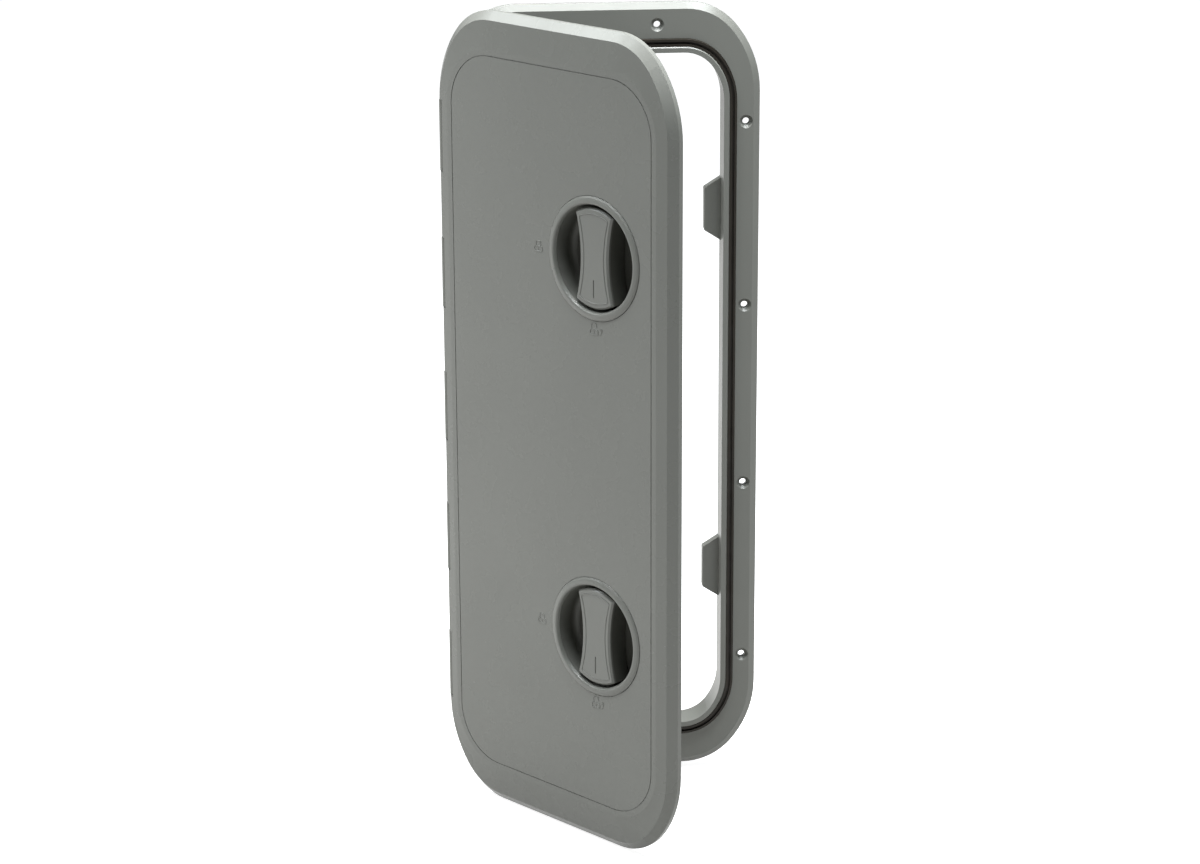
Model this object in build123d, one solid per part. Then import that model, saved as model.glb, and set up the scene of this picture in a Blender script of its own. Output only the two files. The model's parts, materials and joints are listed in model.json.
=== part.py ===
from build123d import *
import math
import os

os.makedirs("parts", exist_ok=True)

# Axes: +Z up the long side, +X towards the latch side, -Y towards the person who faces the hatch.
# Y = 0 is the back of the flange, which lies on the deck or bulkhead. Origin: centre of the opening.

# Overall size, which is the lid's, and outer corners, each corner being two tangent arcs
HATCH_WIDTH = 243.0
HATCH_HEIGHT = 607.0
CORNER_REACH_X = 59.0
CORNER_REACH_Z = 71.0
CORNER_END_RADIUS = 52.0

# Frame moulding, which the lid overhangs all round
LID_OVERHANG = 4.0
FLANGE_THICKNESS = 6.0
FLANGE_EDGE = 2.0
FLANGE_BEVEL = 5.0
SIDE_RIM = 27.5
END_RIM = 36.5
OPENING_REACH_X = 29.6
OPENING_REACH_Z = 36.0
OPENING_END_RADIUS = 26.0
LIP_THICKNESS = 4.3
LIP_RISE = 4.6
LIP_CHAMFER = 0.8
SLEEVE_DEPTH = 14.6
SLEEVE_THICKNESS = 3.4
CHANNEL_WIDTH = 5.6
CHANNEL_FLOOR = 2.5

# Strikes moulded at the back of the sleeve, one for each latch
STRIKE_BASE = 48.0
STRIKE_TIP = 32.0
STRIKE_REACH = 12.5
STRIKE_THICKNESS = 8.0
STRIKE_CORNER = 2.0

# Countersunk screw holes in the flange
SCREW_RADIUS = 2.5
SCREW_HEAD_RADIUS = 5.0
SCREW_INSET = 10.5
END_SCREW_INSET = 16.5
SIDE_SCREW_MARGIN = 22.5
END_SCREW_PITCH = 82.0
SCREWS_PER_SIDE = 4

# Seal in the frame's channel
SEAL_CLEARANCE = 0.2
SEAL_BASE_HEIGHT = 5.5
SEAL_LIP_HEIGHT = 2.0
SEAL_LIP_WIDTH = 1.7

# Hinge along the -X side
PIN_RADIUS = 1.5
PIN_INSET = 5.0
PIN_RISE = 5.0
PIN_RUNNING_GAP = 0.06
PIN_OVERHANG = 14.25
KNUCKLE_RADIUS = 3.0
KNUCKLE_LENGTH = 52.5
KNUCKLE_END_MARGIN = 0.25
KNUCKLE_COUNT = 5
KNUCKLE_GAP = 0.7

# Lid moulding
LID_SEAT_GAP = 0.4
LID_EDGE_HEIGHT = 3.6
LID_BEVEL_WIDTH = 6.2
LID_BEVEL_DEPTH = 5.4
BORDER_RISE = 1.4
BORDER_SIDE_INSET = 15.6
BORDER_END_INSET = 27.0
BORDER_END_RADIUS = 36.0
PANEL_LINE_MARGIN = 4.3
PANEL_LINE_WIDTH = 0.7
PANEL_LINE_DEPTH = 0.5
SKIN_THICKNESS = 3.0
HINGE_BLOCK_WIDTH = 7.0
HINGE_BLOCK_END = 3.5
PRESS_RIB_WIDTH = 3.0
PRESS_RIB_GAP = 0.3
RIB_WIDTH = 2.5
RIB_HEIGHT = 6.3
RIB_LOOP_CLEARANCE = 4.0
CROSS_RIB_ROWS = (-3, -1, 0, 1, 3)
LONG_RIB_COUNT = 2
OPENED_BY = 50.0

# Latches
LATCH_EDGE_INSET = 76.5
LATCH_END_INSET = 162.0
RING_RADIUS = 44.8
RING_THICKNESS = 1.6
RING_ROUND = 0.7
CUP_RADIUS = 39.0
CUP_FLOOR_RADIUS = 37.5
CUP_WALL = 1.5
CUP_FLOOR_THICKNESS = 3.0
CUP_ROUND = 5.0
CUP_CLEARANCE_TO_STRIKE = 3.6
SEAT_DEPTH = 1.4
SEAT_GAP = 0.4
SEAT_BOSS_RADIUS = 48.5
SEAT_BOSS_HEIGHT = 1.6
LATCH_GASKET_THICKNESS = 0.6
LATCH_GASKET_WIDTH = 3.2
RING_NUT_RADIUS = 43.8
RING_NUT_THICKNESS = 4.0
RING_NUT_FIT = 0.1
RING_NUT_LUGS = 8
BEARING_BOSS_RADIUS = 14.0
BEARING_BOSS_HEIGHT = 2.5
HUB_RADIUS = 9.0
HUB_RUNNING_GAP = 0.06
HUB_NECK_RADIUS = 7.5
HUB_LAND = 1.2

# Handle bar in each cup
BAR_END_GAP = 1.0
BAR_END_WIDTH = 37.0
BAR_WAIST_WIDTH = 28.0
BAR_BELOW_RING = 0.4
BAR_FLOOR_GAP = 0.8
BAR_CHAMFER = 1.4
POINTER_LENGTH = 13.0
POINTER_WIDTH = 1.0
POINTER_DEPTH = 0.5
POINTER_END_MARGIN = 8.0

# Small parts on the hub and spindle
ORING_SECTION = 1.7
ORING_SQUEEZE = 0.02
CLIP_OUTER_RADIUS = 11.5
CLIP_GROOVE_RADIUS = 8.0
CLIP_THICKNESS = 1.2
CLIP_END_GAP = 0.3
CLIP_MOUTH = 8.0
SPINDLE_SQUARE = 7.0
SPINDLE_FIT = 0.05
SPINDLE_DEPTH = 8.0
THREAD_RADIUS = 3.0
THREAD_BEYOND_NUT = 1.4
CAM_THICKNESS = 4.0
CAM_CLEARANCE = 0.3
CAM_END_GAP = 2.6
CAM_WIDTH = 18.0
CAM_HUB_RADIUS = 12.0
CAM_TIP_ROUND = 5.0
CAM_RAMP = 1.5
WASHER_RADIUS = 9.0
WASHER_THICKNESS = 1.2
NUT_ACROSS_FLATS = 10.0
NUT_THICKNESS = 5.0

# Room that a cutting tool has past the surface that it cuts
OVERCUT = 1.0

# How closely an edge's place is matched where it is picked
EDGE_MATCH = 0.1

# Sizes and places in X and Z, worked out from the sizes above
FRAME_HALF_WIDTH = HATCH_WIDTH / 2 - LID_OVERHANG
FRAME_HALF_HEIGHT = HATCH_HEIGHT / 2 - LID_OVERHANG
STRAIGHT_HALF_HEIGHT = HATCH_HEIGHT / 2 - CORNER_REACH_Z
PIN_X = -HATCH_WIDTH / 2 + PIN_INSET
OUTER_KNUCKLE = STRAIGHT_HALF_HEIGHT - KNUCKLE_END_MARGIN - KNUCKLE_LENGTH / 2
KNUCKLE_PITCH = 2 * OUTER_KNUCKLE / (KNUCKLE_COUNT - 1)
KNUCKLE_CENTRES = [KNUCKLE_PITCH * i - OUTER_KNUCKLE for i in range(KNUCKLE_COUNT)]
PIN_HALF_LENGTH = OUTER_KNUCKLE + KNUCKLE_LENGTH / 2 + PIN_OVERHANG
LATCH_X = HATCH_WIDTH / 2 - LATCH_EDGE_INSET
LATCH_Z = HATCH_HEIGHT / 2 - LATCH_END_INSET
SIDE_SCREW_X = FRAME_HALF_WIDTH - SCREW_INSET
OUTER_SIDE_SCREW = STRAIGHT_HALF_HEIGHT - SIDE_SCREW_MARGIN
LATCH_SIDE_SCREW_PITCH = 2 * OUTER_SIDE_SCREW / (SCREWS_PER_SIDE - 1)
END_SCREW_Z = FRAME_HALF_HEIGHT - END_SCREW_INSET
BAR_END_RADIUS = CUP_FLOOR_RADIUS - BAR_END_GAP
CAM_REACH = FRAME_HALF_WIDTH - SIDE_RIM - CAM_END_GAP - LATCH_X

# Depths along Y, worked out from the sizes above
FLANGE_FACE = -FLANGE_THICKNESS
LIP_FRONT = FLANGE_FACE - LIP_RISE
PIN_Y = FLANGE_FACE - PIN_RISE
LID_BACK = FLANGE_FACE - LID_SEAT_GAP
LID_EDGE_FRONT = LID_BACK - LID_EDGE_HEIGHT
LID_BORDER = LID_EDGE_FRONT - LID_BEVEL_DEPTH
LID_FACE = LID_BORDER - BORDER_RISE
SKIN_BACK = LID_FACE + SKIN_THICKNESS
SEAL_BASE_TOP = -CHANNEL_FLOOR - SEAL_BASE_HEIGHT
SEAL_TOP = SEAL_BASE_TOP - SEAL_LIP_HEIGHT
SEAT_FACE = LID_FACE + SEAT_DEPTH
RING_BACK = SEAT_FACE - LATCH_GASKET_THICKNESS
RING_FRONT = RING_BACK - RING_THICKNESS
SEAT_BOSS_BACK = SKIN_BACK + SEAT_BOSS_HEIGHT
STRIKE_BACK = SLEEVE_DEPTH
CUP_OUTER_RADIUS = CUP_RADIUS + CUP_WALL
CUP_BACK = STRIKE_BACK - STRIKE_THICKNESS - CUP_CLEARANCE_TO_STRIKE
CUP_FLOOR = CUP_BACK - CUP_FLOOR_THICKNESS
BOSS_BACK = CUP_BACK + BEARING_BOSS_HEIGHT
CLIP_FRONT = BOSS_BACK + CLIP_END_GAP
HUB_SHOULDER = CLIP_FRONT + CLIP_THICKNESS + HUB_LAND
CAM_FRONT = STRIKE_BACK + CAM_CLEARANCE
CAM_BACK = CAM_FRONT + CAM_THICKNESS
WASHER_BACK = CAM_BACK + WASHER_THICKNESS
NUT_BACK = WASHER_BACK + NUT_THICKNESS
BAR_FRONT = RING_FRONT + BAR_BELOW_RING
BAR_BACK = CUP_FLOOR - BAR_FLOOR_GAP
HINGE_AXIS = Axis((PIN_X, PIN_Y, 0), (0, 0, 1))


class Outline:
    """Rounded rectangle in X and Z with two tangent arcs at each corner."""

    def __init__(self, half_x, half_z, reach_x, reach_z, end_radius):
        self.half_x = half_x
        self.half_z = half_z
        self.reach_x = reach_x
        self.reach_z = reach_z
        self.end_radius = end_radius
        rise = reach_z - end_radius
        self.side_radius = (rise**2 + reach_x**2 - end_radius**2) / (2 * (reach_x - end_radius))

    def inset(self, distance):
        """The parallel outline, smaller by distance all round."""
        return Outline(
            self.half_x - distance,
            self.half_z - distance,
            self.reach_x - distance,
            self.reach_z - distance,
            self.end_radius - distance,
        )

    def corner(self):
        """Five points of the +X +Z corner: ends, meeting point and middles of its two arcs."""
        turn = math.atan2(self.reach_z - self.end_radius, self.side_radius - self.reach_x)
        side_centre = (self.half_x - self.side_radius, self.half_z - self.reach_z)
        end_centre = (self.half_x - self.reach_x, self.half_z - self.end_radius)
        half_way = (turn + math.pi / 2) / 2
        side_arc = [(side_centre, self.side_radius, angle) for angle in (0, turn / 2, turn)]
        end_arc = [(end_centre, self.end_radius, angle) for angle in (half_way, math.pi / 2)]
        return [
            (centre[0] + radius * math.cos(angle), centre[1] + radius * math.sin(angle))
            for centre, radius, angle in side_arc + end_arc
        ]

    def face(self, y):
        """The outline's flat face at depth y."""
        corners = []
        for sign_x, sign_z in ((1, 1), (-1, 1), (-1, -1), (1, -1)):
            points = [(sign_x * x, y, sign_z * z) for x, z in self.corner()]
            corners.append(points if sign_x * sign_z > 0 else points[::-1])
        edges = []
        for i, points in enumerate(corners):
            edges.append(ThreePointArc(*points[0:3]))
            edges.append(ThreePointArc(*points[2:5]))
            edges.append(Line(points[4], corners[(i + 1) % 4][0]))
        return make_face(edges)


def slab(outline, y_back, y_front):
    """Solid with this outline between two depths."""
    return extrude(outline.face(y_back), amount=y_back - y_front, dir=(0, -1, 0))


def ring(outer, inner, y_back, y_front):
    """Band between two outlines."""
    return slab(outer, y_back, y_front) - slab(inner, y_back + OVERCUT, y_front - OVERCUT)


def stack(*sections):
    """Solid through outlines at successive depths, straight between each two."""
    return loft([outline.face(y) for outline, y in sections], ruled=True)


def block(x_range, y_range, z_range):
    """Box between pairs of limits."""
    size = [high - low for low, high in (x_range, y_range, z_range)]
    middle = [(high + low) / 2 for low, high in (x_range, y_range, z_range)]
    return Pos(*middle) * Box(*size)


def rod(radius, x, y, z_low, z_high):
    """Round bar parallel to Z."""
    return Pos(x, y, (z_low + z_high) / 2) * Cylinder(radius, z_high - z_low)


def along_y(x, z):
    """Place with its own +Z along +Y, so that its heights are depths of the hatch."""
    return Pos(x, 0, z) * Rot(-90, 0, 0)


def disc(radius, y_front, y_back):
    """Round plate about the local axis, between two depths."""
    return Pos(0, 0, (y_front + y_back) / 2) * Cylinder(radius, y_back - y_front)


def turned(*points):
    """Solid of revolution about the local axis from (radius, depth) points."""
    profile = make_face(Polyline(*[(radius, 0, depth) for radius, depth in points], close=True))
    return revolve(profile, Axis.Z)


LID_OUTLINE = Outline(
    HATCH_WIDTH / 2, HATCH_HEIGHT / 2, CORNER_REACH_X, CORNER_REACH_Z, CORNER_END_RADIUS
)
FRAME_OUTLINE = LID_OUTLINE.inset(LID_OVERHANG)
OPENING = Outline(
    FRAME_HALF_WIDTH - SIDE_RIM,
    FRAME_HALF_HEIGHT - END_RIM,
    OPENING_REACH_X,
    OPENING_REACH_Z,
    OPENING_END_RADIUS,
)
PANEL = Outline(
    HATCH_WIDTH / 2 - BORDER_SIDE_INSET,
    HATCH_HEIGHT / 2 - BORDER_END_INSET,
    CORNER_REACH_X - BORDER_SIDE_INSET,
    CORNER_REACH_Z - BORDER_END_INSET,
    BORDER_END_RADIUS,
)


def screw_places():
    """Centres of the flange's screw holes, in X and Z."""
    middle = (SCREWS_PER_SIDE - 1) / 2
    places = []
    for i in range(SCREWS_PER_SIDE):
        places.append((SIDE_SCREW_X, LATCH_SIDE_SCREW_PITCH * (i - middle)))
        places.append((-SIDE_SCREW_X, KNUCKLE_PITCH * (i - middle)))
    for x in (-END_SCREW_PITCH / 2, END_SCREW_PITCH / 2):
        places += [(x, -END_SCREW_Z), (x, END_SCREW_Z)]
    return places


def screw_hole():
    """Through hole with a 90 degree countersink at the flange's face."""
    sink = SCREW_HEAD_RADIUS - SCREW_RADIUS
    countersink = Pos(0, 0, FLANGE_FACE + sink / 2) * Cone(SCREW_HEAD_RADIUS, SCREW_RADIUS, sink)
    return disc(SCREW_RADIUS, FLANGE_FACE - OVERCUT, OVERCUT) + countersink


def strike(z):
    """Tapered lug on the latch side of the sleeve, which the latch's cam turns behind."""
    wall = OPENING.half_x
    tip = wall - STRIKE_REACH
    root = wall + SLEEVE_THICKNESS / 2
    corners = [
        (root, z - STRIKE_BASE / 2),
        (wall, z - STRIKE_BASE / 2),
        (tip, z - STRIKE_TIP / 2),
        (tip, z + STRIKE_TIP / 2),
        (wall, z + STRIKE_BASE / 2),
        (root, z + STRIKE_BASE / 2),
    ]
    outline = make_face(Polyline(*[(x, STRIKE_BACK, height) for x, height in corners], close=True))
    lug = extrude(outline, amount=STRIKE_THICKNESS, dir=(0, -1, 0))
    return fillet(lug.edges().filter_by(Axis.Y).group_by(Axis.X)[0], STRIKE_CORNER)


def knuckle(z):
    """Hinge barrel on its root, which narrows to the flange's edge."""
    left = PIN_X - KNUCKLE_RADIUS
    right = PIN_X + KNUCKLE_RADIUS
    low = z - KNUCKLE_LENGTH / 2
    left_spring = (left, PIN_Y, low)
    right_spring = (right, PIN_Y, low)
    crown = ThreePointArc(left_spring, (PIN_X, PIN_Y - KNUCKLE_RADIUS, low), right_spring)
    root = Polyline(
        right_spring,
        (right, -FLANGE_EDGE, low),
        (-FRAME_HALF_WIDTH, -FLANGE_EDGE, low),
        left_spring,
    )
    return extrude(make_face([crown, *root.edges()]), amount=KNUCKLE_LENGTH, dir=(0, 0, 1))


def make_frame():
    """One moulding: flange, seal channel, raised lip, sleeve, strikes and hinge knuckles."""
    bevelled = FRAME_OUTLINE.inset(FLANGE_BEVEL)
    frame = stack((FRAME_OUTLINE, 0), (FRAME_OUTLINE, -FLANGE_EDGE), (bevelled, FLANGE_FACE))
    lip = slab(OPENING.inset(-LIP_THICKNESS), 0, LIP_FRONT)
    frame += chamfer(lip.faces().sort_by(Axis.Y)[0].edges(), LIP_CHAMFER)
    frame += slab(OPENING.inset(-SLEEVE_THICKNESS), SLEEVE_DEPTH, 0)
    frame -= slab(OPENING, SLEEVE_DEPTH + OVERCUT, LIP_FRONT - OVERCUT)
    channel_inner = OPENING.inset(-LIP_THICKNESS)
    channel_outer = channel_inner.inset(-CHANNEL_WIDTH)
    inside_channel = slab(channel_inner, 0, LIP_FRONT)
    frame -= slab(channel_outer, -CHANNEL_FLOOR, FLANGE_FACE - OVERCUT) - inside_channel
    for z in (-LATCH_Z, LATCH_Z):
        frame += strike(z)
    for z in KNUCKLE_CENTRES:
        frame += knuckle(z)
    frame -= rod(PIN_RADIUS, PIN_X, PIN_Y, -HATCH_HEIGHT / 2, HATCH_HEIGHT / 2)
    hole = screw_hole()
    for x, z in screw_places():
        frame -= along_y(x, z) * hole
    return frame


def make_frame_seal():
    """Rubber seal in the channel, with two soft lips towards the lid."""
    inner = OPENING.inset(-LIP_THICKNESS - SEAL_CLEARANCE)
    outer = OPENING.inset(-LIP_THICKNESS - CHANNEL_WIDTH + SEAL_CLEARANCE)
    seal = ring(outer, inner, -CHANNEL_FLOOR, SEAL_BASE_TOP)
    seal += ring(outer, outer.inset(SEAL_LIP_WIDTH), SEAL_BASE_TOP, SEAL_TOP)
    seal += ring(inner.inset(-SEAL_LIP_WIDTH), inner, SEAL_BASE_TOP, SEAL_TOP)
    return seal


def lid_envelope():
    """Outer form of the lid: upright edge, bevel, sloping border and flat panel."""
    return stack(
        (LID_OUTLINE, LID_BACK),
        (LID_OUTLINE, LID_EDGE_FRONT),
        (LID_OUTLINE.inset(LID_BEVEL_WIDTH), LID_BORDER),
        (PANEL, LID_FACE),
    )


def lid_hollow():
    """Space behind the lid's skin, parallel to its bevel."""
    wall = LID_OUTLINE.inset(SKIN_THICKNESS)
    slope = LID_BEVEL_WIDTH / LID_BEVEL_DEPTH
    depth = LID_EDGE_FRONT - SKIN_BACK
    return stack(
        (wall, LID_BACK + OVERCUT),
        (wall, LID_EDGE_FRONT),
        (wall.inset(depth * slope), SKIN_BACK),
    )


def lid_ribs():
    """Stiffening ribs behind the panel: a loop inside the opening, with cross and long ribs."""
    ribs_back = SKIN_BACK + RIB_HEIGHT
    loop = OPENING.inset(RIB_LOOP_CLEARANCE)
    ribs = ring(loop, loop.inset(RIB_WIDTH), ribs_back, SKIN_BACK)
    row_pitch = LATCH_Z / 2
    for row in CROSS_RIB_ROWS:
        z = row * row_pitch
        ribs += block(
            (-loop.half_x + RIB_WIDTH, loop.half_x - RIB_WIDTH),
            (SKIN_BACK, ribs_back),
            (z - RIB_WIDTH / 2, z + RIB_WIDTH / 2),
        )
    width_beside_latches = LATCH_X - SEAT_BOSS_RADIUS + loop.half_x
    for i in range(LONG_RIB_COUNT):
        x = -loop.half_x + width_beside_latches * (i + 1) / (LONG_RIB_COUNT + 1)
        ribs += block(
            (x - RIB_WIDTH / 2, x + RIB_WIDTH / 2),
            (SKIN_BACK, ribs_back),
            (-loop.half_z + RIB_WIDTH, loop.half_z - RIB_WIDTH),
        )
    for z in (-LATCH_Z, LATCH_Z):
        ribs -= along_y(LATCH_X, z) * disc(SEAT_BOSS_RADIUS, SKIN_BACK, ribs_back + OVERCUT)
    return ribs


def make_lid():
    """Moulded lid, shown closed: skin, rim, hinge block, press rib, ribs and latch seats."""
    envelope = lid_envelope()
    hinge_block = block(
        (-HATCH_WIDTH / 2, PIN_X + HINGE_BLOCK_WIDTH),
        (LID_FACE, LID_BACK),
        (-PIN_HALF_LENGTH - HINGE_BLOCK_END, PIN_HALF_LENGTH + HINGE_BLOCK_END),
    )
    lid = envelope - lid_hollow() + (hinge_block & envelope)
    groove = PANEL.inset(PANEL_LINE_MARGIN)
    lid -= ring(groove, groove.inset(PANEL_LINE_WIDTH), LID_FACE + PANEL_LINE_DEPTH, LID_FACE - OVERCUT)
    channel_middle = OPENING.inset(-LIP_THICKNESS - CHANNEL_WIDTH / 2)
    press_rib_back = SEAL_TOP - PRESS_RIB_GAP
    lid += ring(
        channel_middle.inset(-PRESS_RIB_WIDTH / 2),
        channel_middle.inset(PRESS_RIB_WIDTH / 2),
        press_rib_back,
        SKIN_BACK,
    )
    lid += lid_ribs()
    for z in (-LATCH_Z, LATCH_Z):
        place = along_y(LATCH_X, z)
        lid += place * disc(SEAT_BOSS_RADIUS, SKIN_BACK, SEAT_BOSS_BACK)
        lid -= place * disc(RING_RADIUS + SEAT_GAP, LID_FACE - OVERCUT, SEAT_FACE)
        lid -= place * disc(CUP_OUTER_RADIUS + SEAT_GAP, LID_FACE, SEAT_BOSS_BACK + OVERCUT)
    for z in KNUCKLE_CENTRES:
        half = KNUCKLE_LENGTH / 2 + KNUCKLE_GAP
        notch_x = (-HATCH_WIDTH / 2 - OVERCUT, PIN_X + KNUCKLE_RADIUS + KNUCKLE_GAP)
        lid -= block(notch_x, (LID_FACE - OVERCUT, LID_BACK + OVERCUT), (z - half, z + half))
    lid -= hinge_edge_trim()
    bore_end = PIN_HALF_LENGTH + PIN_RUNNING_GAP
    return lid - rod(PIN_RADIUS + PIN_RUNNING_GAP, PIN_X, PIN_Y, -HATCH_HEIGHT / 2, bore_end)


def hinge_edge_trim():
    """What is cut from the lid's hinge edge so that it turns clear of the flange."""
    corner = block(
        (-HATCH_WIDTH / 2 - OVERCUT, PIN_X),
        (PIN_Y, LID_BACK + OVERCUT),
        (-HATCH_HEIGHT / 2, HATCH_HEIGHT / 2),
    )
    swept = rod(PIN_RISE - LID_SEAT_GAP, PIN_X, PIN_Y, -HATCH_HEIGHT / 2, HATCH_HEIGHT / 2)
    return corner - swept


def make_hinge_pin():
    """Stainless rod through every knuckle."""
    return rod(PIN_RADIUS, PIN_X, PIN_Y, -PIN_HALF_LENGTH, PIN_HALF_LENGTH)


def make_hinge_plug():
    """Plug below the rod, flush with the lid's corner."""
    top = -PIN_HALF_LENGTH - PIN_RUNNING_GAP
    return rod(PIN_RADIUS, PIN_X, PIN_Y, -HATCH_HEIGHT / 2, top) & lid_envelope()


def make_housing():
    """Latch cup with its ring outside, floor and bearing boss."""
    cup = turned(
        (HUB_RADIUS + HUB_RUNNING_GAP, CUP_FLOOR),
        (CUP_FLOOR_RADIUS, CUP_FLOOR),
        (CUP_RADIUS, RING_FRONT),
        (RING_RADIUS, RING_FRONT),
        (RING_RADIUS, RING_BACK),
        (CUP_OUTER_RADIUS, RING_BACK),
        (CUP_OUTER_RADIUS, CUP_BACK),
        (BEARING_BOSS_RADIUS, CUP_BACK),
        (BEARING_BOSS_RADIUS, BOSS_BACK),
        (HUB_RADIUS + HUB_RUNNING_GAP, BOSS_BACK),
    )
    circles = cup.edges().filter_by(GeomType.CIRCLE)
    front_rims = circles.group_by(Axis.Z)[0]
    cup = fillet(front_rims, RING_ROUND)
    floor_edge = [
        edge
        for edge in cup.edges().filter_by(GeomType.CIRCLE)
        if math.isclose(edge.radius, CUP_FLOOR_RADIUS) and edge.center().Z < CUP_BACK - EDGE_MATCH
    ]
    return fillet(floor_edge, CUP_ROUND)


def make_latch_gasket():
    """Flat gasket under the housing's ring."""
    outer = RING_RADIUS - SEAT_GAP
    return disc(outer, RING_BACK, SEAT_FACE) - disc(
        outer - LATCH_GASKET_WIDTH, RING_BACK - OVERCUT, SEAT_FACE + OVERCUT
    )


def make_ring_nut():
    """Nut behind the lid that holds the housing, with notches for its spanner."""
    back = SEAT_BOSS_BACK + RING_NUT_THICKNESS
    nut = disc(RING_NUT_RADIUS, SEAT_BOSS_BACK, back)
    nut -= disc(CUP_OUTER_RADIUS + RING_NUT_FIT, SEAT_BOSS_BACK - OVERCUT, back + OVERCUT)
    notch_depth = (RING_NUT_RADIUS - CUP_OUTER_RADIUS) / 2
    notch = Pos(RING_NUT_RADIUS, 0, (SEAT_BOSS_BACK + back) / 2) * Box(
        2 * notch_depth, 2 * RING_NUT_THICKNESS, RING_NUT_THICKNESS + OVERCUT
    )
    for i in range(RING_NUT_LUGS):
        nut -= Rot(0, 0, 360 / RING_NUT_LUGS * (i + 1 / 2)) * notch
    return nut


def bar_outline():
    """Waisted outline of the handle, its ends on the cup's circle."""
    half_width = BAR_END_WIDTH / 2
    half_waist = BAR_WAIST_WIDTH / 2
    end_radius = BAR_END_RADIUS
    corner_height = math.sqrt(end_radius**2 - half_width**2)
    left = ThreePointArc((-half_width, -corner_height), (-half_waist, 0), (-half_width, corner_height))
    top = ThreePointArc((-half_width, corner_height), (0, end_radius), (half_width, corner_height))
    right = ThreePointArc((half_width, corner_height), (half_waist, 0), (half_width, -corner_height))
    bottom = ThreePointArc((half_width, -corner_height), (0, -end_radius), (-half_width, -corner_height))
    return make_face([left, top, right, bottom])


def make_handle():
    """Handle bar with its hub, which turns in the housing's boss."""
    bar_depth = BAR_BACK - BAR_FRONT
    bar = Pos(0, 0, BAR_FRONT) * extrude(bar_outline(), amount=bar_depth, dir=(0, 0, 1))
    bar = chamfer(bar.faces().sort_by(Axis.Z)[0].edges(), BAR_CHAMFER)
    end_feet = bar.faces().sort_by(Axis.Z)[-1].edges().sort_by(Axis.Y)
    bar = chamfer([end_feet[0], end_feet[-1]], CUP_ROUND)
    pointer_end = BAR_END_RADIUS - POINTER_END_MARGIN
    bar -= Pos(0, pointer_end - POINTER_LENGTH / 2, BAR_FRONT) * Box(
        POINTER_WIDTH, POINTER_LENGTH, 2 * POINTER_DEPTH
    )
    groove_middle = (CUP_FLOOR + BOSS_BACK) / 2
    half_groove = (ORING_SECTION + ORING_SQUEEZE) / 2
    groove_radius = HUB_RADIUS - ORING_SECTION
    clip_back = CLIP_FRONT + CLIP_THICKNESS
    handle = bar + turned(
        (0, BAR_BACK - OVERCUT),
        (HUB_RADIUS, BAR_BACK - OVERCUT),
        (HUB_RADIUS, groove_middle - half_groove),
        (groove_radius, groove_middle - half_groove),
        (groove_radius, groove_middle + half_groove),
        (HUB_RADIUS, groove_middle + half_groove),
        (HUB_RADIUS, CLIP_FRONT),
        (CLIP_GROOVE_RADIUS, CLIP_FRONT),
        (CLIP_GROOVE_RADIUS, clip_back),
        (HUB_RADIUS, clip_back),
        (HUB_RADIUS, HUB_SHOULDER),
        (HUB_NECK_RADIUS, HUB_SHOULDER),
        (HUB_NECK_RADIUS, CAM_FRONT),
        (0, CAM_FRONT),
    )
    socket_front = -SPINDLE_DEPTH
    socket_side = SPINDLE_SQUARE + 2 * SPINDLE_FIT
    socket = block(
        (-socket_side / 2, socket_side / 2),
        (-socket_side / 2, socket_side / 2),
        (socket_front - SPINDLE_FIT, CAM_FRONT + OVERCUT),
    )
    return handle - socket


def make_oring():
    """O-ring in the hub's groove."""
    section = ORING_SECTION / 2
    middle = (CUP_FLOOR + BOSS_BACK) / 2
    return Pos(0, 0, middle) * Torus(HUB_RADIUS - section, section)


def make_clip():
    """Open retaining clip that keeps the handle from being pulled out."""
    back = CLIP_FRONT + CLIP_THICKNESS
    clip = disc(CLIP_OUTER_RADIUS, CLIP_FRONT, back)
    clip -= disc(CLIP_GROOVE_RADIUS, CLIP_FRONT - OVERCUT, back + OVERCUT)
    mouth = block(
        (0, CLIP_OUTER_RADIUS + OVERCUT),
        (-CLIP_MOUTH / 2, CLIP_MOUTH / 2),
        (CLIP_FRONT - OVERCUT, back + OVERCUT),
    )
    return clip - mouth


def make_spindle():
    """Square steel spindle with a threaded end for the nut."""
    half = SPINDLE_SQUARE / 2
    square = block((-half, half), (-half, half), (-SPINDLE_DEPTH, CAM_BACK))
    return square + disc(THREAD_RADIUS, CAM_BACK, NUT_BACK + THREAD_BEYOND_NUT)


def make_cam():
    """Flat cam on the spindle's square, with a ramp on the edge that meets the strike first."""
    plate = block((-CAM_WIDTH / 2, CAM_WIDTH / 2), (-CAM_REACH, 0), (CAM_FRONT, CAM_BACK))
    tip_edges = plate.edges().filter_by(Axis.Z).group_by(Axis.Y)[0]
    plate = fillet(tip_edges, CAM_TIP_ROUND)
    leading = [
        edge
        for edge in plate.edges().filter_by(Axis.Y)
        if edge.center().X > 0 and edge.center().Z < CAM_FRONT + EDGE_MATCH
    ]
    plate = chamfer(leading, CAM_RAMP)
    cam = plate + disc(CAM_HUB_RADIUS, CAM_FRONT, CAM_BACK)
    hole_side = SPINDLE_SQUARE + 2 * SPINDLE_FIT
    hole = block(
        (-hole_side / 2, hole_side / 2),
        (-hole_side / 2, hole_side / 2),
        (CAM_FRONT - OVERCUT, CAM_BACK + OVERCUT),
    )
    return cam - hole


def make_washer():
    """Washer behind the cam."""
    hole = disc(THREAD_RADIUS + SPINDLE_FIT, CAM_BACK - OVERCUT, WASHER_BACK + OVERCUT)
    return disc(WASHER_RADIUS, CAM_BACK, WASHER_BACK) - hole


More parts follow.
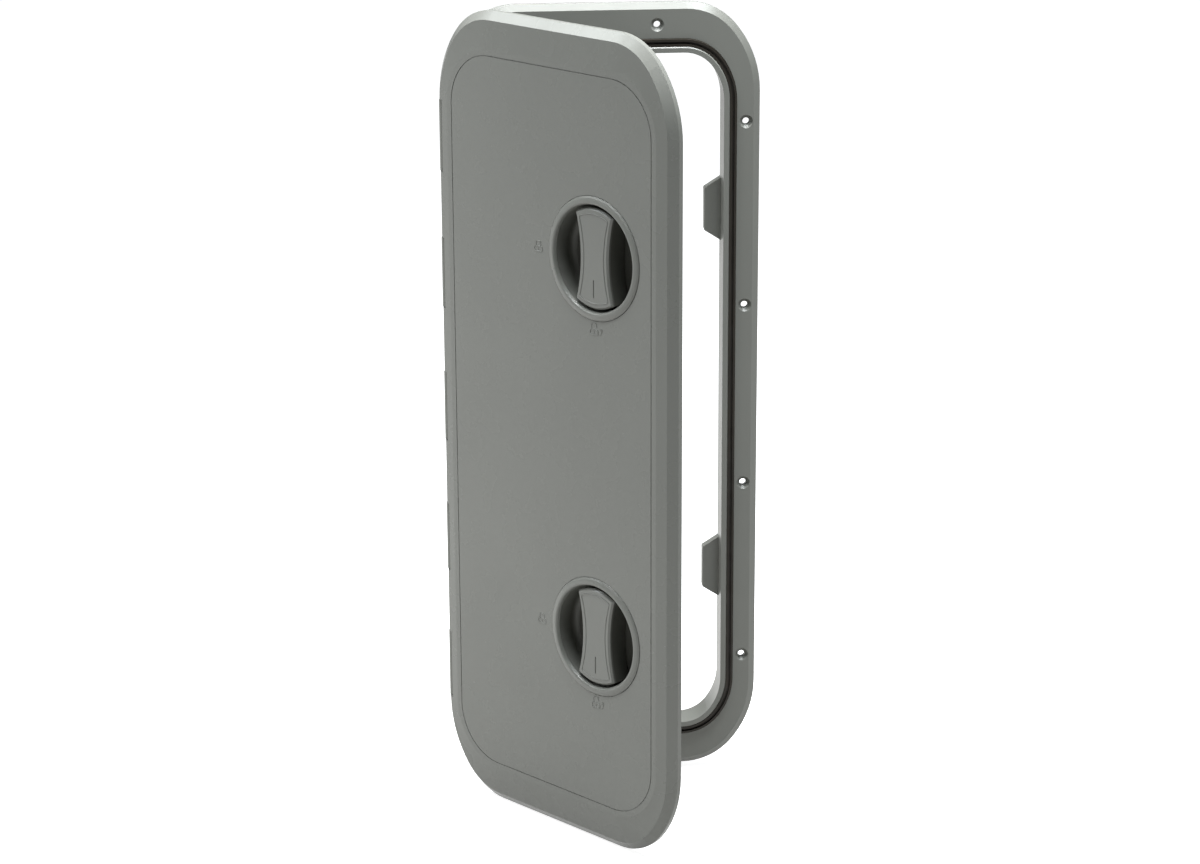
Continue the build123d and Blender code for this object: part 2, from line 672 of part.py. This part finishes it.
def make_nut():
    """Hexagon nut on the spindle's thread."""
    corner_radius = NUT_ACROSS_FLATS / math.sqrt(3)
    nut = Pos(0, 0, WASHER_BACK) * extrude(RegularPolygon(corner_radius, 6), amount=NUT_THICKNESS)
    return nut - disc(THREAD_RADIUS, WASHER_BACK - OVERCUT, NUT_BACK + OVERCUT)


def opened(shape):
    """Turn what the lid carries from closed to where the lid rests."""
    return shape.rotate(HINGE_AXIS, -OPENED_BY)


def save(name, shape):
    """Write one node."""
    shape.label = name
    export_step(shape, os.path.join("parts", name + ".step"))


LATCH_PIECES = {
    "housing": make_housing,
    "gasket": make_latch_gasket,
    "ring_nut": make_ring_nut,
    "handle": make_handle,
    "oring": make_oring,
    "clip": make_clip,
    "spindle": make_spindle,
    "cam": make_cam,
    "washer": make_washer,
    "nut": make_nut,
}

save("frame", make_frame())
save("frame_seal", make_frame_seal())
save("hinge_pin", make_hinge_pin())
save("lid", opened(make_lid()))
save("hinge_plug", opened(make_hinge_plug()))
for piece, make in LATCH_PIECES.items():
    shape = make()
    for side, z in (("upper", LATCH_Z), ("lower", -LATCH_Z)):
        save(f"{side}_latch_{piece}", opened(along_y(LATCH_X, z) * shape))
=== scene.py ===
import json
import math

import bmesh
import bpy
from mathutils import Euler, Matrix, Vector


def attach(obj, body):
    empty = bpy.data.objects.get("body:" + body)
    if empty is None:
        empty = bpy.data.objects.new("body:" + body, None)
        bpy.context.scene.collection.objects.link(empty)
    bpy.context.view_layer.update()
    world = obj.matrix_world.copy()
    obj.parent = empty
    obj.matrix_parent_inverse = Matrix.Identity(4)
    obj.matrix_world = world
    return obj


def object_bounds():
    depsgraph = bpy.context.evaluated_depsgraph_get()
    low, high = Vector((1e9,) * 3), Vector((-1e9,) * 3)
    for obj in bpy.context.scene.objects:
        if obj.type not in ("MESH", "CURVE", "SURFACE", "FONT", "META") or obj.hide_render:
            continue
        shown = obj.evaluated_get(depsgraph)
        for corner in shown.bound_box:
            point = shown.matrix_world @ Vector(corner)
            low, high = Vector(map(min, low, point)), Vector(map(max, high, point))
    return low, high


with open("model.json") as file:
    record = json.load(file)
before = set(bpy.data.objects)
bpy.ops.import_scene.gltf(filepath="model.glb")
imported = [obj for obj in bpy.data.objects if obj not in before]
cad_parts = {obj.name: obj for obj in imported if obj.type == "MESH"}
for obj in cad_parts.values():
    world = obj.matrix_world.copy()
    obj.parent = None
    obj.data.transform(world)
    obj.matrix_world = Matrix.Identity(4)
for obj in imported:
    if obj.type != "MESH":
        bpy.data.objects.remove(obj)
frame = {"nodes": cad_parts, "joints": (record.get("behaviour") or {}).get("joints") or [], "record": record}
cad_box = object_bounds()

MM = 0.001

# Camera, as the photograph was taken: place in metres, angles in degrees
CAMERA_PLACE = Vector((-0.1966, -2.3443, 0.6923))
CAMERA_YAW = 4.75
CAMERA_PITCH = 17.03
CAMERA_ROLL = -0.26
SENSOR_WIDTH = 36.0
LENS = 97.3
FARTHEST_SEEN = 50.0

# Plain colours, linear
LID_GREY = (0.232, 0.236, 0.218)
FRAME_GREY = (0.237, 0.241, 0.221)
HANDLE_GREY = (0.240, 0.244, 0.226)
SEAL_BROWN = (0.022, 0.018, 0.013)
RUBBER_BLACK = (0.012, 0.012, 0.012)
NYLON_BLACK = (0.020, 0.020, 0.021)
# painted shade for the latches' recesses, not a colour of the plastic
RECESS_PAINTED_SHADE = (0.088, 0.088, 0.077)
STEEL = (0.56, 0.56, 0.55)

# Lowest and highest roughness and strength of the grain of each plastic
FRAME_GLOSS = (0.29, 0.33, 0.03)
LID_GLOSS = (0.25, 0.29, 0.03)
LATCH_GLOSS = (0.27, 0.31, 0.03)
HANDLE_GLOSS = (0.22, 0.27, 0.04)
NYLON_GLOSS = (0.45, 0.60, 0.35)
PLASTIC_IOR = 1.49
GRAIN_DEPTH = 0.05 * MM
SEAL_ROUGH = 0.55
RUBBER_ROUGH = 0.60

# Painted shade in the latches' recesses: colour painted dark and gloss made dull inside; depths run
# along the latch's axis from the plane of the flange's back
CUP_MOUTH = 39.3 * MM
CUP_EDGE = 0.1 * MM
CUP_PAINTED_SHADE = (-19.0 * MM, -5.0 * MM)
BAR_PAINTED_SHADE = (-16.7 * MM, -13.5 * MM)
RECESS_ROUGH = 0.5

# Rounded front of each latch ring, as radius and depth in millimetres
RING_ROUNDING = (
    (39.2, -15.6), (38.4, -15.7), (38.55, -16.1), (39.2, -17.5), (39.35, -17.85), (39.6, -18.2),
    (39.95, -18.42), (40.4, -18.52), (41.2, -18.48), (42.4, -18.2), (43.4, -17.9), (44.2, -17.6),
    (44.2, -17.2),
)
RING_STEPS = 160

# Raised edge line on each handle bar
BAR_LINE = 0.42 * MM
BAR_LINE_INSET = 4.2 * MM
BAR_END_RADIUS = 36.5 * MM
BAR_HALF_END = 18.5 * MM
BAR_HALF_WAIST = 14.0 * MM
BAR_LINE_STEPS = 24

# Sides of the latches in the nodes' names
SIDES = ("upper", "lower")

# Plain pale floor: half its width, gap under the object, colour, and what the camera sees of it
FLOOR_HALF = 5.0
FLOOR_GAP = 0.5 * MM
FLOOR_SHADE = (0.36, 0.355, 0.34, 1.0)
FLOOR_PALE = (0.80, 0.80, 0.80, 1.0)
FLOOR_LIFT = 0.85

# World behind the camera's rays and round the object
WHITE = (1.0, 1.0, 1.0, 1.0)
ROOM_COLOUR = (0.92, 0.97, 1.0, 1.0)
ROOM_STRENGTH = 0.14

# Softboxes: name, place, aim, width, height, watts, colour, and whether gloss mirrors them
NEUTRAL = (1.0, 1.0, 1.0)
COOL = (0.93, 0.98, 1.0)
SOFTBOXES = (
    ("top_softbox", (0.0, 0.0, 1.7), (0.0, 0.0, 0.3), 0.6, 0.6, 42.0, NEUTRAL, True),
    ("front_softbox", (0.5, -0.35, 1.4), (0.05, 0.0, 0.3), 0.5, 0.5, 14.5, COOL, True),
    ("left_softbox", (-0.8, 0.1, 0.0), (-0.05, -0.09, 0.0), 0.36, 0.56, 2.0, NEUTRAL, False),
    ("high_softbox", (-0.3, -0.5, 1.6), (0.0, -0.1, 0.1), 1.6, 0.25, 14.0, COOL, True),
    ("rear_left_softbox", (-1.2, 0.34, 1.31), (-0.04, -0.1, 0.3), 0.6, 0.6, 7.6, COOL, True),
)

# Marks on the lid, raised from its face
MARK_LINE = 0.34 * MM
MARK_HEIGHT = 7.6 * MM
LOCKED_FROM_RING = 11.4 * MM
UNLOCKED_FROM_RING = 6.6 * MM


def joint(name):
    """The record's joint of this name."""
    return next(j for j in frame["joints"] if j["name"] == name)


def closed_to_rest():
    """What takes a point of the closed lid to where the lid rests."""
    hinge = joint("lid_hinge")
    pin = Vector(hinge["pos_m"])
    turn = Matrix.Rotation(math.radians(-hinge["range_deg"][0]), 4, Vector(hinge["axis"]))
    return Matrix.Translation(pin) @ turn @ Matrix.Translation(-pin)


LID_PLACE = closed_to_rest()


def closed_box(node):
    """A lid-borne node's lowest and highest corners as they are with the lid closed."""
    back = LID_PLACE.inverted()
    points = [back @ v.co for v in frame["nodes"][node].data.vertices]
    low = Vector([min(p[i] for p in points) for i in range(3)])
    high = Vector([max(p[i] for p in points) for i in range(3)])
    return low, high


def ring_box(side):
    """Lowest corner and middle of a latch's ring as they are with the lid closed."""
    low, high = closed_box(f"{side}_latch_housing")
    return low, (low + high) / 2


def new_material(name):
    """An empty node material with its shader, output and object coordinates."""
    material = bpy.data.materials.new(name)
    material.use_nodes = True
    nodes = material.node_tree.nodes
    nodes.clear()
    output = nodes.new("ShaderNodeOutputMaterial")
    shader = nodes.new("ShaderNodeBsdfPrincipled")
    material.node_tree.links.new(shader.outputs["BSDF"], output.inputs["Surface"])
    coordinates = nodes.new("ShaderNodeTexCoord")
    return material, shader, coordinates.outputs["Object"]


def object_place(material):
    """The material's object coordinates."""
    node = next(node for node in material.node_tree.nodes if node.type == "TEX_COORD")
    return node.outputs["Object"]


def noise(material, where, scale, detail=2.0):
    """Noise over object space."""
    node = material.node_tree.nodes.new("ShaderNodeTexNoise")
    node.inputs["Scale"].default_value = scale
    node.inputs["Detail"].default_value = detail
    material.node_tree.links.new(where, node.inputs["Vector"])
    return node.outputs["Fac"]


def spread(material, value, low, high, from_low=0.3, from_high=0.7):
    """A noise value stretched between two numbers."""
    node = material.node_tree.nodes.new("ShaderNodeMapRange")
    node.inputs["From Min"].default_value = from_low
    node.inputs["From Max"].default_value = from_high
    node.inputs["To Min"].default_value = low
    node.inputs["To Max"].default_value = high
    material.node_tree.links.new(value, node.inputs["Value"])
    return node.outputs["Result"]


def tinted(material, value, colour, change):
    """A colour that gets darker and lighter by a share of itself."""
    node = material.node_tree.nodes.new("ShaderNodeMix")
    node.data_type = "RGBA"
    node.inputs["A"].default_value = [c * (1 - change) for c in colour] + [1.0]
    node.inputs["B"].default_value = [c * (1 + change) for c in colour] + [1.0]
    material.node_tree.links.new(value, node.inputs["Factor"])
    return node.outputs["Result"]


def bumped(material, shader, value, strength, depth):
    """A height pattern on the shader's normal."""
    node = material.node_tree.nodes.new("ShaderNodeBump")
    node.inputs["Strength"].default_value = strength
    node.inputs["Distance"].default_value = depth
    material.node_tree.links.new(value, node.inputs["Height"])
    material.node_tree.links.new(node.outputs["Normal"], shader.inputs["Normal"])


def latch_places(material, where):
    """Distance from a latch's axis and depth along it; the lower latch mirrors the upper one."""
    latch = joint("upper_latch_turn")
    tree = material.node_tree
    link = tree.links.new
    place = tree.nodes.new("ShaderNodeSeparateXYZ")
    link(where, place.inputs["Vector"])
    height = tree.nodes.new("ShaderNodeMath")
    height.operation = "ABSOLUTE"
    link(place.outputs["Z"], height.inputs[0])
    upper = tree.nodes.new("ShaderNodeCombineXYZ")
    link(place.outputs["X"], upper.inputs["X"])
    link(place.outputs["Y"], upper.inputs["Y"])
    link(height.outputs["Value"], upper.inputs["Z"])
    from_latch = tree.nodes.new("ShaderNodeVectorMath")
    from_latch.operation = "SUBTRACT"
    link(upper.outputs["Vector"], from_latch.inputs[0])
    from_latch.inputs[1].default_value = latch["pos_m"]
    across = tree.nodes.new("ShaderNodeVectorMath")
    across.operation = "CROSS_PRODUCT"
    link(from_latch.outputs["Vector"], across.inputs[0])
    across.inputs[1].default_value = latch["axis"]
    radius = tree.nodes.new("ShaderNodeVectorMath")
    radius.operation = "LENGTH"
    link(across.outputs["Vector"], radius.inputs[0])
    depth = tree.nodes.new("ShaderNodeVectorMath")
    depth.operation = "DOT_PRODUCT"
    link(from_latch.outputs["Vector"], depth.inputs[0])
    depth.inputs[1].default_value = latch["axis"]
    return radius.outputs["Value"], depth.outputs["Value"]


def moulded_plastic(name, colour, smooth, rough, grain):
    """Satin moulding: faint flow shades, a fine spark-eroded grain and a slightly uneven gloss."""
    material, shader, where = new_material(name)
    link = material.node_tree.links.new
    flow = spread(material, noise(material, where, 14.0, 3.0), 0.0, 1.0)
    link(tinted(material, flow, colour, 0.02), shader.inputs["Base Color"])
    gloss = spread(material, noise(material, where, 45.0, 4.0), smooth, rough)
    link(gloss, shader.inputs["Roughness"])
    shader.inputs["IOR"].default_value = PLASTIC_IOR
    bumped(material, shader, noise(material, where, 2600.0, 2.0), grain, GRAIN_DEPTH)
    return material


def paint_shade(material, share):
    """The plastic with painted shade: colour painted dark, and gloss dull, where the share is one."""
    tree = material.node_tree
    shader = next(node for node in tree.nodes if node.type == "BSDF_PRINCIPLED")
    colour = tree.nodes.new("ShaderNodeMix")
    colour.data_type = "RGBA"
    colour.inputs["B"].default_value = (*RECESS_PAINTED_SHADE, 1.0)
    gloss = tree.nodes.new("ShaderNodeMapRange")
    gloss.inputs["To Max"].default_value = RECESS_ROUGH
    tree.links.new(share, colour.inputs["Factor"])
    tree.links.new(share, gloss.inputs["Value"])
    tree.links.new(shader.inputs["Base Color"].links[0].from_socket, colour.inputs["A"])
    tree.links.new(shader.inputs["Roughness"].links[0].from_socket, gloss.inputs["To Min"])
    tree.links.new(colour.outputs["Result"], shader.inputs["Base Color"])
    tree.links.new(gloss.outputs["Result"], shader.inputs["Roughness"])
    return material


def cup_plastic_painted_shade(name, colour, smooth, rough, grain):
    """The housing's plastic, with shade painted into its cup, darker from its mouth to its floor."""
    material = moulded_plastic(name, colour, smooth, rough, grain)
    radius, depth = latch_places(material, object_place(material))
    deep = spread(material, depth, 0.0, 1.0, *CUP_PAINTED_SHADE)
    inside = spread(material, radius, 1.0, 0.0, CUP_MOUTH, CUP_MOUTH + CUP_EDGE)
    both = material.node_tree.nodes.new("ShaderNodeMath")
    both.operation = "MULTIPLY"
    material.node_tree.links.new(deep, both.inputs[0])
    material.node_tree.links.new(inside, both.inputs[1])
    return paint_shade(material, both.outputs["Value"])


def bar_plastic_painted_shade(name, colour, smooth, rough, grain):
    """The handle's plastic, with shade painted onto its bar, darker below its front edge."""
    material = moulded_plastic(name, colour, smooth, rough, grain)
    depth = latch_places(material, object_place(material))[1]
    return paint_shade(material, spread(material, depth, 0.0, 1.0, *BAR_PAINTED_SHADE))


def soft_rubber(name, colour, rough):
    """Dull rubber with a faint bloom and fine skin."""
    material, shader, where = new_material(name)
    link = material.node_tree.links.new
    bloom = spread(material, noise(material, where, 60.0, 4.0), 0.0, 1.0)
    link(tinted(material, bloom, colour, 0.25), shader.inputs["Base Color"])
    gloss = spread(material, noise(material, where, 120.0), rough - 0.08, rough + 0.08)
    link(gloss, shader.inputs["Roughness"])
    shader.inputs["Specular IOR Level"].default_value = 0.35
    bumped(material, shader, noise(material, where, 1800.0, 3.0), 0.25, 0.06 * MM)
    return material


def brushed_steel(name, along):
    """Stainless steel with fine lines along one axis."""
    material, shader, where = new_material(name)
    link = material.node_tree.links.new
    mapping = material.node_tree.nodes.new("ShaderNodeMapping")
    mapping.inputs["Scale"].default_value = [0.04 if axis == along else 1.0 for axis in "XYZ"]
    link(where, mapping.inputs["Vector"])
    lines = noise(material, mapping.outputs["Vector"], 1500.0, 4.0)
    link(tinted(material, spread(material, lines, 0.0, 1.0), STEEL, 0.12), shader.inputs["Base Color"])
    link(spread(material, lines, 0.22, 0.38), shader.inputs["Roughness"])
    shader.inputs["Metallic"].default_value = 1.0
    bumped(material, shader, lines, 0.2, 0.02 * MM)
    return material


def finish_nodes():
    """Gives each node the finish of its material slot."""
    finishes = {
        "frame_plastic": moulded_plastic("frame_plastic_finish", FRAME_GREY, *FRAME_GLOSS),
        "lid_plastic": moulded_plastic("lid_plastic_finish", LID_GREY, *LID_GLOSS),
        # the latch plastic has shade painted into its cup
        "latch_plastic": cup_plastic_painted_shade("latch_plastic_painted_shade", LID_GREY, *LATCH_GLOSS),
        # the handle plastic has shade painted onto its bar below the front edge
        "handle_plastic": bar_plastic_painted_shade("handle_plastic_painted_shade", HANDLE_GREY, *HANDLE_GLOSS),
        "cam_nylon": moulded_plastic("cam_nylon_finish", NYLON_BLACK, *NYLON_GLOSS),
        "seal_rubber": soft_rubber("seal_rubber_finish", SEAL_BROWN, SEAL_ROUGH),
        "latch_rubber": soft_rubber("latch_rubber_finish", RUBBER_BLACK, RUBBER_ROUGH),
        "stainless": brushed_steel("stainless_finish", "Z"),
    }
    for part in frame["record"]["subparts"]:
        mesh = frame["nodes"][part["node"]].data
        mesh.materials.clear()
        mesh.materials.append(finishes[part["material_slot"]])
    return finishes


def raised_line(name, strokes, x, z, height, material, line, face):
    """Raised strokes on a face of the lid or its latches, in units of the mark's height."""
    curve = bpy.data.curves.new(name, "CURVE")
    curve.dimensions = "3D"
    curve.bevel_depth = line
    curve.bevel_resolution = 3
    curve.resolution_u = 8
    for stroke in strokes:
        spline = curve.splines.new("NURBS")
        spline.points.add(len(stroke["points"]) - 1)
        for point, (right, up) in zip(spline.points, stroke["points"]):
            point.co = (x + right * height, face, z + up * height, 1.0)
        spline.order_u = stroke.get("order", 3)
        spline.use_cyclic_u = stroke.get("closed", False)
        spline.use_endpoint_u = not spline.use_cyclic_u
    curve.transform(LID_PLACE)
    curve.materials.append(material)
    mark = bpy.data.objects.new(name, curve)
    bpy.context.scene.collection.objects.link(mark)
    return mark


def rounded_box(left, right, low, high, cut):
    """Closed stroke round a box with rounded corners."""
    points = [
        (left + cut, low), (right - cut, low), (right, low + cut), (right, high - cut),
        (right - cut, high), (left + cut, high), (left, high - cut), (left, low + cut),
    ]
    return {"points": points, "closed": True}


def padlock(open_by):
    """Strokes of a wide padlock, with its shackle lifted by a share of the height."""
    free_end = 0.12 if open_by else 0.0
    arch = [(-0.32, 0.0), (-0.32, 0.34), (-0.26, 0.5), (0.26, 0.5), (0.32, 0.34), (0.32, free_end)]
    shackle = {"points": [(x, y + open_by) for x, y in arch]}
    if open_by:
        shackle["points"].insert(0, (-0.32, 0.0))
    keyhole = {"points": [(0.0, -0.18), (0.0, -0.32)], "order": 2}
    return [rounded_box(-0.52, 0.52, -0.5, 0.0, 0.1), shackle, keyhole]


def turn_arrow():
    """Strokes of a small curved arrow beside the open padlock."""
    sweep = {"points": [(0.74, -0.42), (0.92, -0.3), (1.0, -0.05), (0.94, 0.22)]}
    head = {"points": [(0.76, 0.08), (0.94, 0.24), (1.08, 0.04)], "order": 2}
    return [sweep, head]


def add_marks(material):
    """Locked mark on the hinge side of each latch and unlocked mark below it."""
    face = closed_box("lid")[0].y
    for side in SIDES:
        low, middle = ring_box(side)
        size = (MARK_HEIGHT, material, MARK_LINE, face)
        left = low.x - LOCKED_FROM_RING
        locked = raised_line(f"{side}_locked_mark", padlock(0.0), left, middle.z, *size)
        below = low.z - UNLOCKED_FROM_RING
        strokes = padlock(0.14) + turn_arrow()
        unlocked = raised_line(f"{side}_unlocked_mark", strokes, middle.x, below, *size)
        for mark in (locked, unlocked):
            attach(mark, "lid_body")


def bar_line():
    """Closed stroke along the bar's outline, a little inside it."""
    end = BAR_END_RADIUS - BAR_LINE_INSET
    half_end = BAR_HALF_END - BAR_LINE_INSET
    half_waist = BAR_HALF_WAIST - BAR_LINE_INSET
    corner = math.asin(half_end / end)
    top = [
        (end * math.sin(corner * t), end * math.cos(corner * t))
        for t in [-1 + 2 * i / BAR_LINE_STEPS for i in range(BAR_LINE_STEPS + 1)]
    ]
    height = end * math.cos(corner)
    right = [
        (half_waist + (half_end - half_waist) * t**2, height * t)
        for t in [1 - 2 * i / BAR_LINE_STEPS for i in range(1, BAR_LINE_STEPS)]
    ]
    upper_and_right = top + right
    return upper_and_right + [(-x, -z) for x, z in upper_and_right]


def add_bar_lines(material):
    """Raised line inside each handle bar's edge."""
    for side in SIDES:
        middle = ring_box(side)[1]
        face = closed_box(f"{side}_latch_handle")[0].y
        strokes = [{"points": bar_line(), "closed": True}]
        size = (1.0, material, BAR_LINE, face)
        line = raised_line(f"{side}_bar_line", strokes, middle.x, middle.z, *size)
        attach(line, f"{side}_latch")


def ring_front(name, middle):
    """Mesh of a ring's rounded front round the latch's axis, smooth and as the lid rests."""
    shape = bmesh.new()
    rows = []
    for i in range(RING_STEPS):
        angle = 2 * math.pi * i / RING_STEPS
        across, up = MM * math.cos(angle), MM * math.sin(angle)
        rows.append([
            shape.verts.new((middle.x + radius * across, depth * MM, middle.z + radius * up))
            for radius, depth in RING_ROUNDING
        ])
    for row, after in zip(rows, rows[1:] + rows[:1]):
        for j in range(len(row)):
            k = (j + 1) % len(row)
            shape.faces.new((row[j], row[k], after[k], after[j]))
    bmesh.ops.recalc_face_normals(shape, faces=shape.faces)
    mesh = bpy.data.meshes.new(name)
    shape.to_mesh(mesh)
    shape.free()
    mesh.transform(LID_PLACE)
    for face in mesh.polygons:
        face.use_smooth = True
    return mesh


def add_ring_fronts(material):
    """Rounded front on each latch's flat ring."""
    for side in SIDES:
        name = f"{side}_ring_front"
        mesh = ring_front(name, ring_box(side)[1])
        mesh.materials.append(material)
        front = bpy.data.objects.new(name, mesh)
        bpy.context.scene.collection.objects.link(front)
        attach(front, "lid_body")


def add_camera():
    """The photograph's camera."""
    data = bpy.data.cameras.new("photo_camera")
    data.sensor_width = SENSOR_WIDTH
    data.lens = LENS
    data.clip_end = FARTHEST_SEEN
    camera = bpy.data.objects.new("photo_camera", data)
    camera.location = CAMERA_PLACE
    angles = Euler((math.radians(90 - CAMERA_PITCH), 0.0, math.radians(-CAMERA_YAW)), "XYZ")
    roll = Matrix.Rotation(math.radians(CAMERA_ROLL), 4, "Z")
    camera.rotation_euler = (angles.to_matrix().to_4x4() @ roll).to_euler()
    bpy.context.scene.collection.objects.link(camera)
    bpy.context.scene.camera = camera


def add_softbox(name, place, aim, width, height, power, colour, mirrored):
    """A soft rectangular lamp that faces a point; glossy surfaces may be kept from mirroring it."""
    data = bpy.data.lights.new(name, "AREA")
    data.shape = "RECTANGLE"
    data.size = width
    data.size_y = height
    data.energy = power
    lamp = bpy.data.objects.new(name, data)
    lamp.location = place
    lamp.rotation_euler = (Vector(aim) - Vector(place)).to_track_quat("-Z", "Y").to_euler()
    data.color = colour
    lamp.visible_camera = False
    lamp.visible_glossy = mirrored
    bpy.context.scene.collection.objects.link(lamp)


def add_floor():
    """Plain pale floor under the object's lowest point, white to the camera where nothing shades it."""
    half = FLOOR_HALF
    level = cad_box[0][2] - FLOOR_GAP
    corners = [(-half, -half, level), (half, -half, level), (half, half, level), (-half, half, level)]
    mesh = bpy.data.meshes.new("floor")
    mesh.from_pydata(corners, [], [(0, 1, 2, 3)])
    material = bpy.data.materials.new("floor_paint")
    material.use_nodes = True
    tree = material.node_tree
    tree.nodes.clear()
    output = tree.nodes.new("ShaderNodeOutputMaterial")
    paint = tree.nodes.new("ShaderNodeBsdfDiffuse")
    shade = tree.nodes.new("ShaderNodeMix")
    shade.data_type = "RGBA"
    shade.inputs["A"].default_value = FLOOR_SHADE
    shade.inputs["B"].default_value = FLOOR_PALE
    tree.links.new(shade.outputs["Result"], paint.inputs["Color"])
    lift = tree.nodes.new("ShaderNodeEmission")
    lift.inputs["Strength"].default_value = FLOOR_LIFT
    dark = tree.nodes.new("ShaderNodeEmission")
    dark.inputs["Strength"].default_value = 0.0
    path = tree.nodes.new("ShaderNodeLightPath")
    direct = tree.nodes.new("ShaderNodeMath")
    direct.operation = "MAXIMUM"
    tree.links.new(path.outputs["Is Camera Ray"], shade.inputs["Factor"])
    tree.links.new(path.outputs["Is Camera Ray"], direct.inputs[0])
    tree.links.new(path.outputs["Is Glossy Ray"], direct.inputs[1])
    seen = tree.nodes.new("ShaderNodeMixShader")
    total = tree.nodes.new("ShaderNodeAddShader")
    tree.links.new(direct.outputs["Value"], seen.inputs["Fac"])
    tree.links.new(dark.outputs["Emission"], seen.inputs[1])
    tree.links.new(lift.outputs["Emission"], seen.inputs[2])
    tree.links.new(paint.outputs["BSDF"], total.inputs[0])
    tree.links.new(seen.outputs["Shader"], total.inputs[1])
    tree.links.new(total.outputs["Shader"], output.inputs["Surface"])
    mesh.materials.append(material)
    floor = bpy.data.objects.new("floor", mesh)
    bpy.context.scene.collection.objects.link(floor)


def add_world():
    """White behind the object for the camera, and a dimmer soft room for the light."""
    world = bpy.data.worlds.new("studio")
    bpy.context.scene.world = world
    world.use_nodes = True
    tree = world.node_tree
    tree.nodes.clear()
    output = tree.nodes.new("ShaderNodeOutputWorld")
    backdrop = tree.nodes.new("ShaderNodeBackground")
    backdrop.inputs["Color"].default_value = WHITE
    backdrop.inputs["Strength"].default_value = 1.0
    room = tree.nodes.new("ShaderNodeBackground")
    room.inputs["Color"].default_value = ROOM_COLOUR
    room.inputs["Strength"].default_value = ROOM_STRENGTH
    path = tree.nodes.new("ShaderNodeLightPath")
    mix = tree.nodes.new("ShaderNodeMixShader")
    tree.links.new(path.outputs["Is Camera Ray"], mix.inputs["Fac"])
    tree.links.new(room.outputs["Background"], mix.inputs[1])
    tree.links.new(backdrop.outputs["Background"], mix.inputs[2])
    tree.links.new(mix.outputs["Shader"], output.inputs["Surface"])


finishes = finish_nodes()
add_marks(finishes["lid_plastic"])
# the ring fronts take the latch plastic, with its painted shade inside the cup's mouth
add_ring_fronts(finishes["latch_plastic"])
add_bar_lines(finishes["handle_plastic"])
add_camera()
for softbox in SOFTBOXES:
    add_softbox(*softbox)
add_floor()
add_world()
bpy.context.scene.view_settings.view_transform = "Standard"
